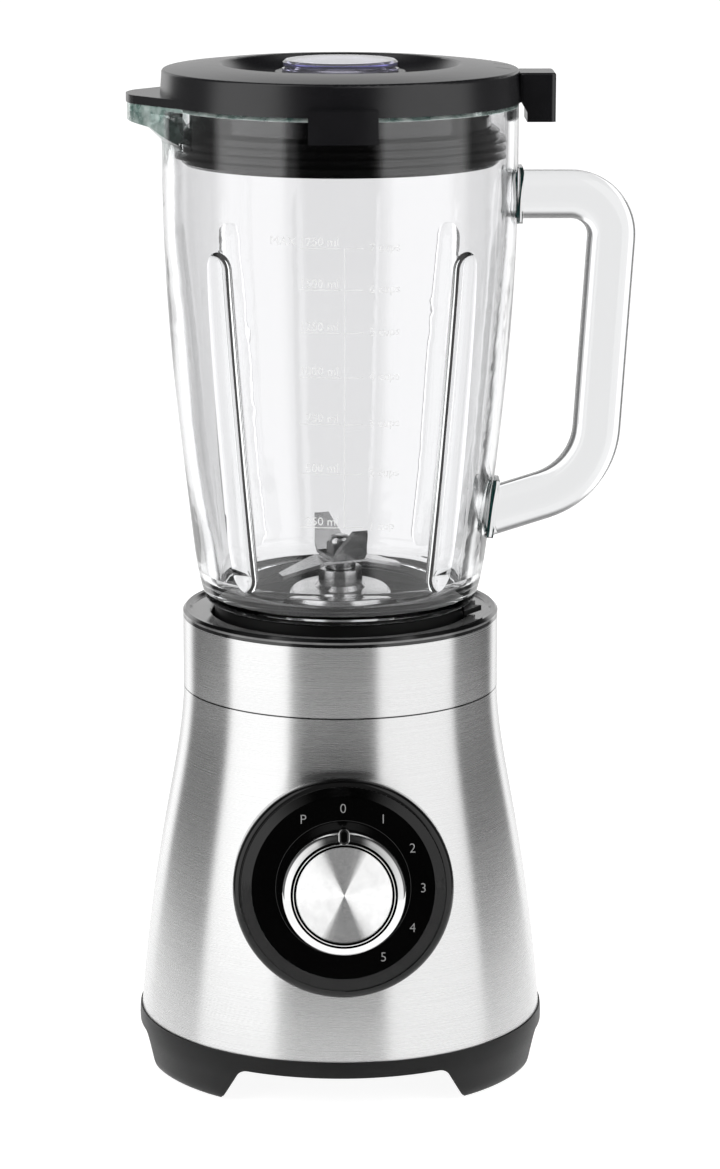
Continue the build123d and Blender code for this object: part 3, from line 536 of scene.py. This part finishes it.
# Dim grey of the dial's fine ring: painted highlight of the dial's groove edge.
GROOVE_HIGHLIGHT_DIM = moulded("groove_highlight_dim", *grey(0.030, 0.040), 0.5, 1500)
SEAM_GREEN = moulded("seam_green", (0.012, 0.06, 0.055), (0.03, 0.12, 0.11), 0.2, 700)
MARK_GLASS = frosted("mark_glass", 0.3)

# Nodes whose look differs from the rest of their material slot.
OWN_LOOK = {"deck": "deck_gloss", "dial_bezel": "bezel_gloss"}

for part in frame["record"]["subparts"]:
    node = frame["nodes"][part["node"]]
    node.data.materials.clear()
    node.data.materials.append(MATERIALS[OWN_LOOK.get(part["node"], part["material_slot"])])


# ---- mesh helpers --------------------------------------------------------------------------------
def add_piece(name, bm, material, body, sharp=40.0):
    """Turns a bmesh into a piece that rides on a body."""
    mesh = bpy.data.meshes.new(name)
    bmesh.ops.recalc_face_normals(bm, faces=bm.faces)
    bm.to_mesh(mesh)
    bm.free()
    mesh.shade_smooth()
    mesh.set_sharp_from_angle(angle=radians(sharp))
    piece = bpy.data.objects.new(name, mesh)
    bpy.context.scene.collection.objects.link(piece)
    piece.data.materials.append(material)
    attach(piece, body)


# Height of the font's capitals, as a share of its size.
CAPITALS = 0.70


def lettering(bm, text, height, matrix, align="CENTER", thickness=0.0, thin=0.0):
    """Adds a line of text: capitals height tall, their middle at the matrix's origin.

    Each stroke loses thin on both sides.
    """
    curve = bpy.data.curves.new("text", "FONT")
    curve.body = text
    curve.size = height / CAPITALS
    curve.align_x = align
    curve.extrude = thickness / 2
    curve.offset = -thin
    curve.resolution_u = 4
    holder = bpy.data.objects.new("text", curve)
    mesh = bpy.data.meshes.new_from_object(holder)
    mesh.transform(matrix @ Matrix.Translation((0, -height / 2, thickness / 2)))
    bm.from_mesh(mesh)
    bpy.data.objects.remove(holder)
    bpy.data.curves.remove(curve)
    bpy.data.meshes.remove(mesh)


def bar(bm, size_x, size_y, thickness, matrix):
    """Adds a thin flat bar round the matrix's Z axis, standing on its XY plane."""
    lift = Matrix.Translation((0, 0, thickness / 2))
    scale = Matrix.Diagonal((size_x, size_y, thickness, 1))
    bmesh.ops.create_cube(bm, size=1.0, matrix=matrix @ lift @ scale)


RING_SEGMENTS = 180


def loop_band(bm, radius, width, thickness, matrix):
    """Adds a flat ring with a small height, standing on the matrix's XY plane."""
    turns = [2 * pi * i / RING_SEGMENTS for i in range(RING_SEGMENTS)]
    rings = []
    for r, z in (
        (radius - width / 2, 0), (radius - width / 2, thickness),
        (radius + width / 2, thickness), (radius + width / 2, 0),
    ):
        rings.append([bm.verts.new(matrix @ Vector((r * cos(a), r * sin(a), z))) for a in turns])
    for low, high in zip(rings, rings[1:] + rings[:1]):
        for i in range(RING_SEGMENTS):
            j = (i + 1) % RING_SEGMENTS
            bm.faces.new((low[i], low[j], high[j], high[i]))


# ---- dial markings -------------------------------------------------------------------------------
MARK_RADIUS = 33.0 * MM
MARK_HEIGHT = 3.9 * MM
MARK_STEP = 30                  # degrees from mark to mark, with 0 at the top
THINNED = 0.07 * MM             # taken off each side of a digit's strokes
LINE_RADIUS = 27.9 * MM
LINE_WIDTH = 0.16 * MM
INK = 0.04 * MM                 # thickness of the print


def panel_matrix():
    """Place of the knob's joint on the panel: X to the right, Y up the slope, Z out of it."""
    joint = next(j for j in frame["joints"] if j["name"] == "speed_knob")
    out = Vector(joint["axis"]).normalized()
    if out.y > 0:
        out.negate()
    right = Vector((1, 0, 0))
    turn = Matrix((right, out.cross(right), out)).transposed().to_4x4()
    return Matrix.Translation(joint["pos_m"]) @ turn


def face_height(panel, node):
    """Distance of a node's front face from the joint, out of the panel."""
    back = panel.inverted()
    return max((back @ v.co).z for v in frame["nodes"][node].data.vertices)


def add_dial_marks(panel):
    """Light digits round the knob, pulse first, and inside them a fine dim line, a painted highlight of the dial's
    groove.
    """
    panel = panel @ Matrix.Translation((0, 0, face_height(panel, "dial_plate")))
    bm = bmesh.new()
    for step, mark in enumerate("P012345"):
        angle = radians(MARK_STEP * (step - 1))
        spot = Matrix.Translation((MARK_RADIUS * sin(angle), MARK_RADIUS * cos(angle), 0))
        lettering(bm, mark, MARK_HEIGHT, panel @ spot, thickness=INK, thin=THINNED)
    add_piece("dial_digits", bm, PRINT_GREY, "base", sharp=30)
    # Painted highlight: a dim grey ring where the edge of the dial's groove catches light.
    bm = bmesh.new()
    loop_band(bm, LINE_RADIUS, LINE_WIDTH, INK / 2, panel)
    add_piece("dial_groove_highlight", bm, GROOVE_HIGHLIGHT_DIM, "base", sharp=30)


# Black rings of painted shade round the knob's disc, in its grooves and on the lip between them:
# middle radius, width, and height of the ring's top over the disc's face, in millimetres.
GROOVE_SHADE = [(19.85, 0.55, -0.2), (20.25, 0.4, 0.44), (21.45, 0.9, -0.55)]
GROOVE_SHADE_DEPTH = 0.1


def add_groove_shade(panel):
    """Black rings of painted shade in and beside the grooves of the knob's chromed ring."""
    face = face_height(panel, "knob_cap")
    bm = bmesh.new()
    for radius, width, rise in GROOVE_SHADE:
        spot = panel @ Matrix.Translation((0, 0, face + (rise - GROOVE_SHADE_DEPTH) * MM))
        loop_band(bm, radius * MM, width * MM, GROOVE_SHADE_DEPTH * MM, spot)
    add_piece("groove_shade", bm, MATERIALS["gloss_black"], "knob", sharp=30)


# ---- seam of the housing -------------------------------------------------------------------------
def add_seam_shadow():
    """Black ring of painted shadow in the joint where the straight steel band meets the flared housing."""
    low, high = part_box("steel_band")
    half_height, drop, inset, width = 0.3 * MM, 0.15 * MM, 0.35 * MM, 0.74 * MM
    bm = bmesh.new()
    spot = Matrix.Translation((0, 0, low[2] - drop - half_height))
    loop_band(bm, high[0] - inset, width, 2 * half_height, spot)
    add_piece("seam_shadow", bm, MATERIALS["gloss_black"], "base")


# ---- volume marks on the jar ---------------------------------------------------------------------
# Inside of the jar: heights and radii, in millimetres.
INSIDE = [(205.0, 44.0), (216.0, 52.6), (240.0, 57.2), (305.8, 64.6), (350.0, 68.7), (400.0, 69.4)]
TOP_MARK = 361.3                # height of the highest mark
MARKS = 7
CUP_ML = 250                    # from mark to mark
SLICES = 10                     # parts of a cup that are measured one by one
RULE_X = 0.6                    # upright line between the two scales
SINK = 0.02 * MM                # how far the relief sits in the glass


def inside_radius(z):
    """Inside radius of the jar at a height, both in millimetres."""
    for (low, r_low), (high, r_high) in zip(INSIDE, INSIDE[1:]):
        if z <= high:
            return r_low + (r_high - r_low) * (z - low) / (high - low)
    return INSIDE[-1][1]


def wrap(bm, surface):
    """Lays a flat relief, drawn in X and Z with its height in -Y, on the front of a surface."""
    for vert in bm.verts:
        x, lift, z = vert.co.x, -vert.co.y, vert.co.z
        spot, normal, _, _ = surface.ray_cast(Vector((x, -0.3, z)), Vector((0, 1, 0)))
        vert.co = spot + normal * (lift - SINK)


def add_volume_marks():
    """Raised marks every 250 ml on the front of the glass: millilitres, and cups on the right."""
    jar = frame["nodes"]["glass_jar"].data
    surface = BVHTree.FromPolygons([v.co for v in jar.vertices], [p.vertices for p in jar.polygons])
    upright = Matrix.Rotation(pi / 2, 4, "X")
    relief, line, text = 0.16 * MM, 0.34 * MM, 3.4 * MM

    def place(x, z):
        return Matrix.Translation((x * MM, 0, z * MM)) @ upright

    z = TOP_MARK
    bm = bmesh.new()
    for cups in range(MARKS, 0, -1):
        ml_label = f"{cups * CUP_ML} ml"
        if cups == MARKS:
            ml_label = "MAX " + ml_label
        cup_label = "1 cup" if cups == 1 else f"{cups} cups"
        lettering(bm, ml_label, text, place(-1.7, z + 2.7), "RIGHT", relief)
        bar(bm, 16.5 * MM, line, relief, place(-9.2, z))
        bar(bm, 7.4 * MM, line, relief, place(4.3, z))
        lettering(bm, cup_label, text, place(10.4, z + 0.4), "LEFT", relief)
        bottom = z
        for _ in range(SLICES):
            z -= CUP_ML * 1e3 / SLICES / (pi * inside_radius(z) ** 2)
    bar(bm, line, (TOP_MARK - bottom) * MM, relief, place(RULE_X, (TOP_MARK + bottom) / 2))
    cut_long_edges(bm, 3 * MM)
    wrap(bm, surface)
    add_piece("volume_marks", bm, MARK_GLASS, "jar", sharp=30)


def cut_long_edges(bm, limit):
    """Divides edges longer than a limit, so that long bars can follow a curved surface."""
    long_edges = [e for e in bm.edges if e.calc_length() > limit]
    while long_edges:
        bmesh.ops.subdivide_edges(bm, edges=long_edges, cuts=1)
        long_edges = [e for e in bm.edges if e.calc_length() > limit]


# ---- handle joints -------------------------------------------------------------------------------
# Where the handle is fused to the wall: name, X, Z, lean in degrees, height, and thickness in the
# middle and at the ends; lengths in millimetres.
HANDLE_SEAMS = [
    ("handle_seam_top", 74.6, 374.2, 5.0, 19.4, 0.5, 1.8),
    ("handle_seam_low", 63.4, 241.5, 7.8, 22.0, 1.2, 1.9),
]


def add_handle_seam(name, x, z, lean, height, thin, thick):
    """Dark green film in a handle joint: a plate with round corners that thickens at its ends."""
    bm = bmesh.new()
    half_width, corner, rows = 8.0 * MM, 3.5 * MM, 24
    half = height * MM / 2
    rings = []
    for i in range(rows + 1):
        v = -half + height * MM * i / rows
        rise = max(0.0, abs(v) - (half - corner))
        width = half_width - corner + max(0.0, corner ** 2 - rise ** 2) ** 0.5
        depth = (thin * MM + (thick * MM - thin * MM) * (abs(v) / half) ** 2) / 2
        ring = [(-depth, -width), (depth, -width), (depth, width), (-depth, width)]
        rings.append([bm.verts.new((along, across, v)) for along, across in ring])
    for low, high in zip(rings, rings[1:]):
        for i in range(4):
            j = (i + 1) % 4
            bm.faces.new((low[i], low[j], high[j], high[i]))
    bm.faces.new(rings[0])
    bm.faces.new(rings[-1])
    spot = Matrix.Translation((x * MM, 0, z * MM))
    bm.transform(spot @ Matrix.Rotation(radians(lean), 4, "Y"))
    add_piece(name, bm, SEAM_GREEN, "jar")


panel = panel_matrix()
add_dial_marks(panel)
add_groove_shade(panel)
add_seam_shadow()
add_volume_marks()
for seam in HANDLE_SEAMS:
    add_handle_seam(*seam)
